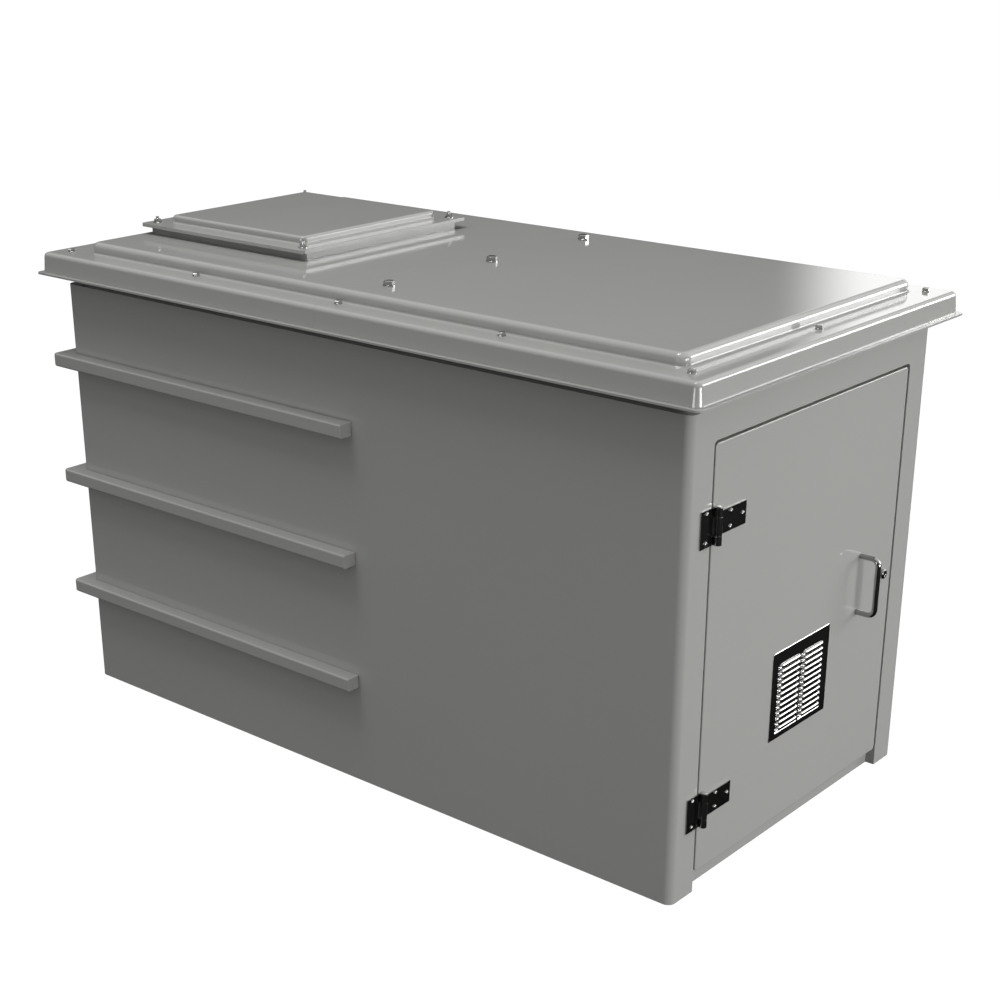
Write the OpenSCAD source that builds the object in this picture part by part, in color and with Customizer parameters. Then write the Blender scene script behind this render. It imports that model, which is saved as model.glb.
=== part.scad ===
// Glass-fibre equipment cabinet: one-piece shell, bolted two-half lid with a hatch, one door.
// Frame: +Z up, origin on the floor under the middle, the door faces -Y. Millimetres.

/* [Shell] */
// Outside width of the shell
body_w = 1030; // [900:1:1300]
// Outside length of the shell
body_l = 2036; // [1700:1:2500]
// Height of the outer wall up to its shoulder
wall_h = 1158; // [1120:1:1400]
// Laminate thickness of the shell
wall_t = 6; // [4:0.5:9]
// Outside radius of the upright corners
corner_r = 20; // [14:1:40]
// Width of the floor flange, measured from the outside
base_w = 86; // [78:1:120]
// Thickness of the floor flange
base_t = 8; // [5:1:14]
// Inset of the neck that carries the lid
neck_in = 29; // [28:0.5:40]
// Height of the neck and its top flange above the shoulder
neck_h = 78; // [66:1:110]

/* [Ribs] */
// Height of one box rib
rib_h = 36; // [28:1:50]
// How far a rib stands out from the wall
rib_d = 40; // [25:1:55]
// Height of the lowest rib's middle
rib_low = 283; // [200:1:320]
// Upright distance from rib to rib
rib_pitch = 333; // [280:1:360]
// How far behind the middle the ribs end (negative is in front)
rib_end = -46; // [-200:1:300]

/* [Lid] */
// Laminate thickness of the lid
lid_t = 5; // [4:0.5:7]
// Overhang of the lid's outer lip past the shell wall
lip_over = 57; // [50:1:80]
// Overhang of the top of the lid's skirt past the shell wall
skirt_over = 42; // [36:1:46]
// How much wider the foot of the skirt is on each side
skirt_draft = 4; // [1:0.5:6]
// Depth of the skirt below the rim
skirt_h = 58; // [45:1:70]
// Height of the raised middle above the rim
panel_h = 30; // [24:1:45]
// Distance from the shell's side wall in to the raised middle
panel_in_x = 31; // [30:1:60]
// Distance from the shell's front wall in to the raised middle
panel_in_f = 45; // [44:1:90]
// Distance from the shell's rear wall in to the raised middle
panel_in_r = 73; // [44:1:110]
// Distance of the lid seam behind the middle
seam_y = 25; // [-100:1:60]
// Thickness of the lid gasket
lid_seal = 3; // [2:0.5:5]

/* [Hatch] */
// Outside width of the square hatch collar
hatch_w = 595; // [480:1:640]
// Distance of the hatch's middle behind the shell's middle
hatch_y = 618; // [520:1:640]
// Height of the collar above the raised middle
collar_h = 20; // [16:1:40]
// Overhang of the hatch cover past the collar
cover_over = 16.5; // [12:0.5:30]
// Depth of the turned-down edge of the hatch cover
cover_lip = 3; // [2:0.5:10]
// Height of the cover's raised middle above its flange
cover_h = 20; // [12:1:40]

/* [Door] */
// Width of the door leaf
door_w = 836; // [740:1:840]
// Height of the door leaf
door_h = 1029; // [940:1:1032]
// Height of the door's lower edge above the floor
door_z = 49; // [40:1:60]
// Depth of the door leaf from front to back
door_d = 22; // [18:1:34]
// Laminate thickness of the door's front skin
door_t = 5; // [4:0.5:7]
// Gap all round between door and frame
door_gap = 7; // [5:0.5:10]
// Width of the stop flange behind the door, past the gap
stop_w = 33; // [30:1:45]

/* [Hinges] */
// Height of the lower hinge's middle
hinge_low = 211; // [160:1:300]
// Upright distance from hinge to hinge
hinge_pitch = 685; // [400:1:720]
// Length of a hinge barrel
hinge_len = 86; // [70:1:110]
// Outside radius of a hinge barrel
barrel_r = 9; // [8:0.1:9.5]
// Radius of a hinge pin
pin_r = 5; // [4:0.1:5.5]
// Running clearance on the hinge pins and the lock plug
run_c = 0.05; // [0.02:0.01:0.1]

/* [Handle and lock] */
// Distance of the pull handle from the shell's middle
handle_x = 256; // [200:1:290]
// Height of the pull handle's middle
handle_z = 563; // [480:1:800]
// Distance between the handle's two feet
handle_len = 148; // [120:1:190]
// Distance from the door to the middle of the grip
handle_out = 50; // [40:1:60]
// Diameter of the handle bar
handle_d = 14; // [10:0.5:16]
// Distance of the lock from the shell's middle
lock_x = 365; // [340:1:367]
// Radius of the lock's round housing
lock_r = 13; // [11:0.5:16]
// How far the lock housing stands out of the door
lock_out = 14; // [10:1:22]
// Length of the cam from the lock's axis
cam_len = 50; // [40:1:66]

/* [Vent] */
// Width of the louvred vent plate
vent_w = 254; // [200:1:300]
// Height of the louvred vent plate
vent_h = 229; // [180:1:260]
// Height of the vent plate's middle
vent_z = 386; // [300:1:480]
// Plain strip of the vent plate above the louvres
vent_head = 35.5; // [20:0.5:60]
// Plain strip of the vent plate below the louvres
vent_foot = 21.5; // [12:0.5:40]
// Plain strip of the vent plate on each side of the louvres
vent_side = 24.5; // [20:0.5:50]
// Gap between the two columns of louvres
hood_gap = 5; // [3:1:50]
// How far a louvre stands out of the plate
hood_d = 6; // [5:0.5:8]
// Height of one louvre
hood_h = 9.5; // [7:0.5:11]
// Length of a louvre's sloping ends
hood_end = 14.5; // [8:0.5:20]
// Rows of louvres
hood_rows = 12; // [6:1:12]

/* [Fasteners] */
// Radius of the lid bolts and the hatch studs
bolt_r = 5; // [4:0.5:6]
// Radius of the lid joint bolts
joint_r = 8; // [6:0.5:9]
// Radius of the anchor holes in the floor flange
anchor_r = 7; // [5:0.5:10]
// Radial clearance of bolts in their holes
hole_c = 0.5; // [0.3:0.1:0.9]

/* [Hidden] */
$fn = 48;
e = 1;
hw = body_w / 2;
hl = body_l / 2;
top_z = wall_h + neck_h;
rim_z = top_z + lid_seal + lid_t;
panel_z = rim_z + panel_h;
lip_z = rim_z - skirt_h;
collar_z = panel_z + collar_h;
hatch_seal = 3;
cover_z = collar_z + hatch_seal;
cover_t = 6;
cover_top = cover_z + cover_t + cover_h;
cover_w = hatch_w + 2 * cover_over;
crown_in = 58;
collar_rc = 14;
hatch_rc = 8;
collar_rim = 47;
rim_r = 12;
panel_r = 15;
panel_cove = 6;
cover_cove = 5;
skirt_rc = 14;
panel_rc = 25;
panel_w = body_w - 2 * panel_in_x;
panel_l = body_l - panel_in_f - panel_in_r;
panel_y = (panel_in_f - panel_in_r) / 2;
seam_c = 0.3;
bolt_x = hw - neck_in / 2;
bolt_y = hl - neck_in / 2;
bolt_pts = [for (i = [-2:2]) for (s = [-1, 1]) [s * bolt_x, i * bolt_y / 2]];
end_pts = [[0, -bolt_y], [0, bolt_y]];
rim_pts = concat(bolt_pts, end_pts);
joint_in = 102;
joint_back = 80;
joint_lap = 137;
joint_y = seam_y - joint_back;
joint_x = panel_w / 2 - joint_in;
joint_pts = [[-joint_x, joint_y], [0, joint_y], [joint_x, joint_y]];
lap_z = panel_z - 2 * lid_t - seam_c;
stud_edge = 15.5;
stud_in = hatch_w / 2 - stud_edge;
stud_pts = [for (sx = [-1, 1]) for (sy = [-1, 1]) [sx * stud_in, hatch_y + sy * stud_in]];
rebate_x = door_w / 2 + door_gap;
rebate_z = door_z + door_h + door_gap;
seal_t = 2;
seal_c = 0.3;
rebate_d = door_d + seal_t + seal_c;
stop_x = rebate_x - door_gap - stop_w;
stop_bot = door_z + stop_w;
stop_top = rebate_z - door_gap - stop_w;
front = -hl;
back = front + door_d;
stiff_w = 26;
stiff_in = 4;
stiff_zs = [72, 767];
hinge_edge = 8;
hinge_x = -door_w / 2 + hinge_edge;
hinge_y = front - barrel_r - 1;
knuckle = (hinge_len - 1) / 4;
knuckle_c = 0.5;
leaf_t = 3;
hinge_zs = [hinge_low, hinge_low + hinge_pitch];
leaf_w = 57;
strap_w = 120;
strap_h = 54;
flat_in = 11;
screw_r = 3;
screw_c = 0.3;
screw_end = 6;
small_af = 10;
small_h = 5;
pocket_r = 9;
foot_r = 14;
foot_washer_t = 1.5;
foot_thread = 14;
leaf_pts = [[-36, 33], [-36, -33]];
strap_pts = [[58, 18], [58, -18], [106, 0]];
cam_t = 4;
cam_c = 1;
cam_r = 8;
stop_y = front + rebate_d;
cam_y = stop_y + wall_t + cam_c;
plug_r = 5;
cam_screw_r = 2;
lock_drop = 3;
lock_z = handle_z - lock_drop;
lock_thread_r = 8;
lock_pocket_r = 17;
lock_bevel = 3;
vent_t = 1.5;
hood_w = (vent_w - 2 * vent_side - hood_gap) / 2;
hood_pitch = (vent_h - vent_head - vent_foot - hood_h) / (hood_rows - 1);
hood_r = (hood_h * hood_h + hood_d * hood_d) / (2 * hood_d);
hood_t = 1.2;
hood_back = 3;
slot_inset = 0.6;
slot_x = 2 * hood_t + slot_inset;
slot_w = hood_w - 2 * slot_x;
hood_x = [-hood_gap / 2 - hood_w, hood_gap / 2];
hood_top = vent_z + vent_h / 2 - vent_head;
vent_edge = 4;
vent_open_w = vent_w - 2 * vent_side + 2 * vent_edge;
vent_open_h = vent_h - vent_head - vent_foot + 2 * vent_edge;
vent_open_z = vent_z - vent_h / 2 + vent_foot - vent_edge;
mesh_lap = 8;
mesh_t = 1.2;
washer_t = 2;
nut_af = 16;
nut_h = 8;
head_h = 6.4;
thread_end = 4;
joint_af = 24;
joint_head_h = 10;
joint_nut_h = 13;
joint_washer_r = 15;
joint_washer_t = 3;
ring_c = 0.3;
anchor_in = 50;
anchor_x = hw - anchor_in;
anchor_y = hl - anchor_in;
anchor_pts = [for (sx = [-1, 1]) for (j = [-1, 0, 1]) [sx * anchor_x, j * anchor_y]];
grp = [0.60, 0.60, 0.59];
steel = [0.72, 0.73, 0.74];
black = [0.10, 0.10, 0.10];

// ---- helpers ----
module rrect(w, l, r) {
  square([w - 2 * r, l], center = true);
  square([w, l - 2 * r], center = true);
  for (sx = [-1, 1]) for (sy = [-1, 1])
    translate([sx * (w / 2 - r), sy * (l / 2 - r)]) circle(r);
}

module slab(w, l, z0, z1, r) {
  translate([0, 0, z0]) linear_extrude(z1 - z0) rrect(w, l, r);
}

// sweeps an edge profile round a w x l plan; the profile's x runs outwards from the
// centres of the upright corners, so its nominal edge lies at x = rc
module sweep(w, l, rc) {
  for (s = [0, 180]) rotate([0, 0, s]) {
    translate([w / 2 - rc, 0, 0]) rotate([90, 0, 0])
      linear_extrude(l - 2 * rc, center = true) children();
    translate([0, l / 2 - rc, 0]) rotate([90, 0, 90])
      linear_extrude(w - 2 * rc, center = true) children();
    for (c = [0, 1]) mirror([c, 0, 0])
      translate([w / 2 - rc, l / 2 - rc, 0]) rotate_extrude(angle = 90) children();
  }
}

module quarter(r) {
  intersection() {
    circle(r);
    square(r);
  }
}

// block with rounded upright corners (rc), rounded top edges (re), and a foot wider by draft
module soft_slab(w, l, z0, z1, rc, re, draft = 0) {
  zr = z1 - re;
  sweep(w, l, rc) {
    polygon([[0, z0], [rc + draft, z0], [rc, zr], [0, zr]]);
    translate([0, zr]) square([rc - re, re]);
    translate([rc - re, zr]) quarter(re);
  }
  translate([rc - w / 2, rc - l / 2, z0]) cube([w - 2 * rc, l - 2 * rc, z1 - z0]);
}

// hollow fillet round the foot of a block that stands on z
module cove(w, l, z, rc, r) {
  sweep(w, l, rc) translate([rc, z]) difference() {
    translate([-e, -e]) square(r + e);
    translate([r, r]) circle(r);
  }
}

// block rounded along all its outer edges
module pill_slab(w, l, h, rc, re) {
  sweep(w, l, rc) {
    translate([0, -h / 2]) square([rc - re, h]);
    translate([0, re - h / 2]) square([rc, h - 2 * re]);
    for (k = [0, 1]) mirror([0, k]) translate([rc - re, h / 2 - re]) quarter(re);
  }
  translate([rc - w / 2, rc - l / 2, -h / 2]) cube([w - 2 * rc, l - 2 * rc, h]);
}

module hex(af, h) {
  cylinder(r = af / sqrt(3), h = h, $fn = 6);
}

module hex_nut(af, r, h) {
  difference() {
    hex(af, h);
    translate([0, 0, -e]) cylinder(r = r + run_c, h = h + 2 * e);
  }
}

module ring(ro, ri, h) {
  difference() {
    cylinder(r = ro, h = h);
    translate([0, 0, -e]) cylinder(r = ri, h = h + 2 * e);
  }
}

module at(pts, z) {
  for (p = pts) translate([p[0], p[1], z]) children();
}

// turns +Z to point out of the door face (-Y)
module on_door(x, y, z) {
  translate([x, y, z]) rotate([90, 0, 0]) children();
}

// ---- shell ----
module shell_walls() {
  difference() {
    union() {
      slab(body_w, body_l, 0, wall_h, corner_r);
      slab(body_w - 2 * neck_in, body_l - 2 * neck_in, wall_h - e, top_z, corner_r);
      slab(body_w, body_l, top_z - wall_t, top_z, corner_r);
    }
    slab(body_w - 2 * wall_t, body_l - 2 * wall_t, base_t, wall_h - wall_t, corner_r - wall_t);
    slab(body_w - 2 * (neck_in + wall_t), body_l - 2 * (neck_in + wall_t),
      wall_h - wall_t - e, top_z + e, corner_r - wall_t);
    slab(body_w - 2 * base_w, body_l - 2 * base_w, -e, base_t + e, corner_r);
  }
}

module door_frame() {
  translate([-rebate_x - wall_t, front + wall_t / 2, 0])
    cube([2 * (rebate_x + wall_t), rebate_d + wall_t / 2, rebate_z + wall_t]);
}

// pocket the closed door lies in, open at the floor, with rounded top corners
module door_pocket() {
  r = 12;
  translate([0, stop_y, 0]) rotate([90, 0, 0]) linear_extrude(rebate_d + 2 * e) {
    translate([-rebate_x, -e]) square([2 * rebate_x, rebate_z - r + e]);
    translate([-rebate_x + r, rebate_z - r - e]) square([2 * (rebate_x - r), r + e]);
    for (s = [-1, 1]) translate([s * (rebate_x - r), rebate_z - r]) circle(r);
  }
}

module doorway() {
  translate([-stop_x, stop_y - e, stop_bot])
    cube([2 * stop_x, wall_t + 2 * e, stop_top - stop_bot]);
}

module body_shell() {
  color(grp) difference() {
    union() {
      shell_walls();
      door_frame();
    }
    door_pocket();
    doorway();
    at(rim_pts, top_z - wall_t - e) cylinder(r = bolt_r + hole_c, h = wall_t + 2 * e);
    at(anchor_pts, -e) cylinder(r = anchor_r, h = base_t + 2 * e);
    for (z = hinge_zs) for (p = leaf_pts)
      on_door(hinge_x + p[0], front + wall_t + e, z + p[1])
        cylinder(r = screw_r + hole_c, h = wall_t + 2 * e);
  }
}

// ---- ribs: open-backed box section bonded round the rear end ----
module rib(zc) {
  w = body_w + 2 * rib_d;
  l = body_l + 2 * rib_d;
  t = 4;
  re = 5;
  rc = 12;
  color(grp) translate([0, 0, zc]) difference() {
    pill_slab(w, l, rib_h, rc, re);
    slab(body_w, body_l, -rib_h, rib_h, corner_r);
    difference() {
      slab(w - 2 * t, l - 2 * t, -rib_h / 2 + t, rib_h / 2 - t, rc - t);
      translate([-w, -l, -rib_h]) cube([2 * w, l + rib_end + t, 2 * rib_h]);
    }
    translate([-w, -l, -rib_h]) cube([2 * w, l + rib_end, 2 * rib_h]);
  }
}

module rib_upper() {
  rib(rib_low + 2 * rib_pitch);
}

module rib_middle() {
  rib(rib_low + rib_pitch);
}

module rib_lower() {
  rib(rib_low);
}

// ---- lid ----
module lid_gasket() {
  edge = 2;
  inner = neck_in + 1;
  color(black) difference() {
    slab(body_w - 2 * edge, body_l - 2 * edge, top_z, top_z + lid_seal, corner_r - edge);
    slab(body_w - 2 * inner, body_l - 2 * inner, top_z - e, top_z + lid_seal + e,
      corner_r - 2 * edge);
    at(rim_pts, top_z - e) cylinder(r = bolt_r + hole_c, h = lid_seal + 2 * e);
  }
}

module lid_outer() {
  lip_rc = 16;
  soft_slab(body_w + 2 * skirt_over, body_l + 2 * skirt_over, lip_z, rim_z, skirt_rc, rim_r,
    skirt_draft);
  slab(body_w + 2 * lip_over, body_l + 2 * lip_over, lip_z, lip_z + lid_t, lip_rc);
  translate([0, panel_y, 0])
    soft_slab(panel_w, panel_l, rim_z - e, panel_z, panel_rc, panel_r);
  translate([0, panel_y, 0]) cove(panel_w, panel_l, rim_z, panel_rc, panel_cove);
}

module lid_inner() {
  t = lid_t;
  soft_slab(body_w + 2 * (skirt_over - t), body_l + 2 * (skirt_over - t), lip_z - e, rim_z - t,
    skirt_rc - t, rim_r - t, skirt_draft);
  translate([0, panel_y, 0])
    soft_slab(panel_w - 2 * t, panel_l - 2 * t, rim_z - t - e, panel_z - t, panel_rc - t,
      panel_r - t);
}

module lid_shell() {
  difference() {
    lid_outer();
    lid_inner();
    at(rim_pts, rim_z - lid_t - e) cylinder(r = bolt_r + hole_c, h = lid_t + 2 * e);
    at(joint_pts, lap_z - e) cylinder(r = joint_r + hole_c, h = 3 * lid_t);
  }
}

module half_space(front_half) {
  big = body_l * 2;
  y0 = front_half ? seam_y - big : seam_y + seam_c;
  translate([-big, y0, 0]) cube([2 * big, big, 2 * top_z]);
}

module lid_front() {
  color(grp) intersection() {
    lid_shell();
    half_space(true);
  }
}

// tongue of the rear half that lies under the front half
module lid_lap() {
  side_c = 3;
  step = 10;
  w = panel_w - 2 * (panel_r + side_c);
  difference() {
    union() {
      translate([-w / 2, seam_y - joint_lap, lap_z]) cube([w, joint_lap + step, lid_t]);
      translate([-w / 2, seam_y + seam_c, lap_z]) cube([w, step, 2 * lid_t]);
    }
    at(joint_pts, lap_z - e) cylinder(r = joint_r + hole_c, h = lid_t + 2 * e);
  }
}

// space inside the collar's wall
module collar_inside(z0, z1) {
  w = hatch_w - 2 * lid_t;
  translate([0, hatch_y, 0]) slab(w, w, z0, z1, collar_rc - lid_t);
}

module hatch_collar() {
  w = hatch_w - 2 * collar_rim;
  difference() {
    translate([0, hatch_y, 0]) slab(hatch_w, hatch_w, panel_z - lid_t, collar_z, collar_rc);
    collar_inside(panel_z - lid_t - e, collar_z - lid_t);
    translate([0, hatch_y, 0]) slab(w, w, panel_z, collar_z + e, hatch_rc);
  }
}

module lid_rear() {
  color(grp) difference() {
    union() {
      difference() {
        intersection() {
          lid_shell();
          half_space(false);
        }
        collar_inside(panel_z - 2 * lid_t, collar_z);
      }
      lid_lap();
      hatch_collar();
    }
    at(stud_pts, collar_z - lid_t - e) cylinder(r = bolt_r + hole_c, h = lid_t + 2 * e);
  }
}

// ---- lid fasteners ----
module lid_bolts() {
  grip = washer_t + lid_t + lid_seal + wall_t + washer_t + nut_h + thread_end;
  color(steel) at(rim_pts, rim_z + washer_t) {
    hex(nut_af, head_h);
    translate([0, 0, -grip]) cylinder(r = bolt_r, h = grip + e);
  }
}

module lid_washers() {
  r = 10;
  color(steel) {
    at(rim_pts, rim_z) ring(r, bolt_r + ring_c, washer_t);
    at(rim_pts, top_z - wall_t - washer_t) ring(r, bolt_r + ring_c, washer_t);
  }
}

module lid_nuts() {
  color(steel) at(rim_pts, top_z - wall_t - washer_t - nut_h) hex_nut(nut_af, bolt_r, nut_h);
}

module lid_joint_bolts() {
  grip = 2 * lid_t + seam_c + 2 * joint_washer_t + joint_nut_h + thread_end;
  color(steel) at(joint_pts, panel_z + joint_washer_t) {
    hex(joint_af, joint_head_h);
    translate([0, 0, -grip]) cylinder(r = joint_r, h = grip + e);
  }
}

module lid_joint_washers() {
  color(steel) {
    at(joint_pts, panel_z) ring(joint_washer_r, joint_r + ring_c, joint_washer_t);
    at(joint_pts, lap_z - joint_washer_t) ring(joint_washer_r, joint_r + ring_c, joint_washer_t);
  }
}

module lid_joint_nuts() {
  color(steel) at(joint_pts, lap_z - joint_washer_t - joint_nut_h)
    hex_nut(joint_af, joint_r, joint_nut_h);
}

// ---- hatch ----
module hatch_gasket() {
  strip = 18;
  wi = hatch_w - 2 * collar_rim + 8;
  wo = wi + 2 * strip;
  color(black) translate([0, hatch_y, 0]) difference() {
    slab(wo, wo, collar_z, cover_z, hatch_rc + 4);
    slab(wi, wi, collar_z - e, cover_z + e, hatch_rc);
  }
}

module hatch_cover() {
  t = lid_t;
  rc = 14;
  re = 8;
  w = cover_w - 2 * crown_in;
  wi = cover_w - 2 * t;
  lip_z0 = cover_z - cover_lip;
  color(grp) difference() {
    translate([0, hatch_y, 0]) difference() {
      union() {
        slab(cover_w, cover_w, lip_z0, cover_z + cover_t, hatch_rc);
        soft_slab(w, w, cover_z + e, cover_top, rc, re);
        cove(w, w, cover_z + cover_t, rc, cover_cove);
      }
      slab(wi, wi, lip_z0 - e, cover_z, hatch_rc - t);
      soft_slab(w - 2 * t, w - 2 * t, cover_z - e, cover_top - t, rc - t, re - t);
    }
    at(stud_pts, cover_z - e) cylinder(r = bolt_r + hole_c, h = cover_t + 2 * e);
  }
}

module hatch_studs() {
  stand = 7;
  z0 = collar_z - lid_t - nut_h - thread_end;
  z1 = cover_z + cover_t + washer_t + nut_h + stand;
  color(steel) at(stud_pts, z0) cylinder(r = bolt_r, h = z1 - z0);
}

module hatch_washers() {
  color(steel) at(stud_pts, cover_z + cover_t) ring(12, bolt_r + ring_c, washer_t);
}

module hatch_nuts() {
  color(steel) at(stud_pts, cover_z + cover_t + washer_t) hex_nut(nut_af + 1, bolt_r, nut_h);
}

module hatch_lock_nuts() {
  color(steel) at(stud_pts, collar_z - lid_t - nut_h) hex_nut(nut_af - 1, bolt_r, nut_h);
}

// ---- door ----
// oblong that runs d outside the doorway
module round_doorway(d) {
  translate([-stop_x - d, stop_bot - d])
    square([2 * (stop_x + d), stop_top - stop_bot + 2 * d]);
}

module door_seal() {
  inner = 2;
  outer = 17;
  color(black) translate([0, stop_y, 0]) rotate([90, 0, 0]) linear_extrude(seal_t)
    difference() {
      round_doorway(outer);
      round_doorway(inner);
    }
}

// door leaf drawn flat with its front up, then stood on edge
module door_flat() {
  band = stop_w + 2;
  rc = 10;
  re = 2.5;
  difference() {
    soft_slab(door_w, door_h, 0, door_d, rc, re);
    difference() {
      slab(door_w - 2 * band, door_h - 2 * band, -e, door_d - door_t, rc - stiff_in);
      for (z = stiff_zs) translate([-door_w / 2, z - door_h / 2, stiff_in])
        cube([door_w, stiff_w, door_d]);
    }
  }
}

// hole through the door, with room for its nut cut down to the front skin
module pocket_hole(r, nut_room) {
  cylinder(r = r, h = door_d + 2 * e);
  cylinder(r = nut_room, h = door_d - door_t + e);
}

module door_panel() {
  zc = door_z + door_h / 2;
  color(grp) difference() {
    translate([0, back, zc]) rotate([90, 0, 0]) door_flat();
    translate([-vent_open_w / 2, front - e, vent_open_z])
      cube([vent_open_w, door_d + 2 * e, vent_open_h]);
    on_door(lock_x, back + e, lock_z) pocket_hole(lock_thread_r + hole_c, lock_pocket_r);
    for (k = [-1, 1]) on_door(handle_x, back + e, handle_z + k * handle_len / 2)
      pocket_hole(screw_r + hole_c, foot_r);
    for (z = hinge_zs) for (p = strap_pts) on_door(hinge_x + p[0], back + e, z + p[1])
      pocket_hole(screw_r + hole_c, pocket_r);
  }
}

// ---- hinges ----
module knuckles(z0, z1) {
  translate([hinge_x, hinge_y, z0]) cylinder(r = barrel_r, h = z1 - z0);
}

module pin_hole(zc) {
  translate([hinge_x, hinge_y, zc - hinge_len]) cylinder(r = pin_r + run_c, h = 2 * hinge_len);
}

module hinge_leaf(zc) {
  h = hinge_len / 2;
  mid = knuckle + knuckle_c;
  tab = flat_in + e;
  color(steel) difference() {
    union() {
      translate([hinge_x - leaf_w, front - leaf_t, zc - h])
        cube([leaf_w - flat_in, leaf_t, 2 * h]);
      for (z = [-h, mid]) translate([hinge_x - tab, front - leaf_t, zc + z])
        cube([tab, leaf_t, h - mid]);
      knuckles(zc - h, zc - mid);
      knuckles(zc + mid, zc + h);
    }
    pin_hole(zc);
    for (p = leaf_pts) on_door(hinge_x + p[0], front + e, zc + p[1])
      cylinder(r = screw_r + screw_c, h = leaf_t + 2 * e);
  }
}

module hinge_strap(zc) {
  mid = knuckle;
  r = flat_in + e;
  color(steel) difference() {
    union() {
      translate([hinge_x, front - leaf_t, zc - mid]) cube([strap_w, leaf_t, 2 * mid]);
      difference() {
        translate([hinge_x + flat_in, front - leaf_t, zc - strap_h / 2])
          cube([strap_w - flat_in, leaf_t, strap_h]);
        for (k = [-1, 1]) on_door(hinge_x + flat_in, front + e, zc + k * (mid + r))
          cylinder(r = r, h = leaf_t + 2 * e);
      }
      knuckles(zc - mid, zc + mid);
    }
    pin_hole(zc);
    for (p = strap_pts) on_door(hinge_x + p[0], front + e, zc + p[1])
      cylinder(r = screw_r + screw_c, h = leaf_t + 2 * e);
  }
}

module hinge_upper_leaf() {
  hinge_leaf(hinge_zs[1]);
}

module hinge_lower_leaf() {
  hinge_leaf(hinge_zs[0]);
}

module hinge_upper_strap() {
  hinge_strap(hinge_zs[1]);
}

module hinge_lower_strap() {
  hinge_strap(hinge_zs[0]);
}

module hinge_pins() {
  head = 2;
  color(steel) for (z = hinge_zs) translate([hinge_x, hinge_y, z - hinge_len / 2 - e]) {
    cylinder(r = pin_r, h = hinge_len + 2 * e);
    translate([0, 0, hinge_len + e + run_c]) cylinder(r = pin_r + 1.5, h = head);
  }
}

// button-head screw, head outside on the hinge, shank inwards
module screw(len) {
  head_r = 5.4;
  head_t = 3.3;
  dome_r = 7.6;
  intersection() {
    cylinder(r = head_r, h = head_t);
    translate([0, 0, head_t - dome_r]) sphere(r = dome_r);
  }
  translate([0, 0, -len]) cylinder(r = screw_r, h = len + e);
}

module hinge_leaf_screws() {
  color(steel) for (z = hinge_zs) for (p = leaf_pts)
    on_door(hinge_x + p[0], front - leaf_t, z + p[1]) 
      screw(leaf_t + wall_t + screw_end);
}

module hinge_strap_screws() {
  color(steel) for (z = hinge_zs) for (p = strap_pts)
    on_door(hinge_x + p[0], front - leaf_t, z + p[1]) 
      screw(leaf_t + door_t + screw_end);
}

module hinge_leaf_nuts() {
  color(steel) for (z = hinge_zs) for (p = leaf_pts)
    on_door(hinge_x + p[0], front + wall_t + small_h, z + p[1])
      hex_nut(small_af, screw_r, small_h);
}

module hinge_strap_nuts() {
  color(steel) for (z = hinge_zs) for (p = strap_pts)
    on_door(hinge_x + p[0], front + door_t + small_h, z + p[1])
      hex_nut(small_af, screw_r, small_h);
}

// ---- handle ----
module pull_handle() {
  r = handle_d / 2;
  br = 18;
  y1 = front - handle_out;
  color(steel) difference() {
    union() {
      translate([handle_x, y1, handle_z - handle_len / 2 + br])
        cylinder(r = r, h = handle_len - 2 * br);
      for (k = [-1, 1]) {
        on_door(handle_x, front, handle_z + k * handle_len / 2) cylinder(r = r, h = handle_out - br);
        translate([handle_x, y1 + br, handle_z + k * (handle_len / 2 - br)])
          rotate([90, 0, -90]) rotate([0, 0, k > 0 ? 0 : -90])
          rotate_extrude(angle = 90) translate([br, 0]) circle(r);
      }
    }
    for (k = [-1, 1]) on_door(handle_x, front + e, handle_z + k * handle_len / 2)
      cylinder(r = screw_r + run_c, h = handle_out - br - r);
  }
}

module handle_screws() {
  color(steel) for (k = [-1, 1])
    translate([handle_x, front + door_t + foot_washer_t, handle_z + k * handle_len / 2])
      rotate([-90, 0, 0]) screw(door_t + foot_washer_t + foot_thread);
}

module handle_washers() {
  color(steel) for (k = [-1, 1])
    translate([handle_x, front + door_t, handle_z + k * handle_len / 2]) rotate([-90, 0, 0])
      ring(pocket_r, screw_r + screw_c, foot_washer_t);
}

// ---- lock ----
module lock_body() {
  b = lock_bevel;
  depth = cam_y - front;
  cam_gap = 0.5;
  color(steel) on_door(lock_x, front, lock_z) difference() {
    union() {
      cylinder(r = lock_r, h = lock_out - b);
      translate([0, 0, lock_out - b]) cylinder(r1 = lock_r, r2 = lock_r - b, h = b);
      translate([0, 0, cam_gap - depth]) cylinder(r = lock_thread_r, h = depth);
    }
    translate([0, 0, -depth - e]) cylinder(r = plug_r + run_c, h = depth + lock_out + 2 * e);
  }
}

module lock_nut() {
  h = 5;
  color(steel) on_door(lock_x, front + door_t + h, lock_z) hex_nut(24, lock_thread_r, h);
}

module lock_plug() {
  h = cam_y - front + lock_out - e;
  key_w = 2.4;
  key_l = 8;
  key_d = 6;
  color(steel) on_door(lock_x, cam_y, lock_z) difference() {
    cylinder(r = plug_r, h = h);
    translate([-key_w / 2, -key_l / 2, h - key_d]) cube([key_w, key_l, key_d + e]);
    translate([0, 0, -e]) cylinder(r = cam_screw_r + run_c, h = 12);
  }
}

module lock_cam() {
  color(steel) on_door(lock_x, cam_y + cam_t, lock_z) difference() {
    union() {
      cylinder(r = cam_r + 1, h = cam_t);
      translate([-cam_r, cam_r - cam_len, 0]) cube([2 * cam_r, cam_len - cam_r, cam_t]);
      translate([0, cam_r - cam_len, 0]) cylinder(r = cam_r, h = cam_t);
    }
    translate([0, 0, -e]) cylinder(r = cam_screw_r + run_c, h = cam_t + 2 * e);
  }
}

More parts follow.
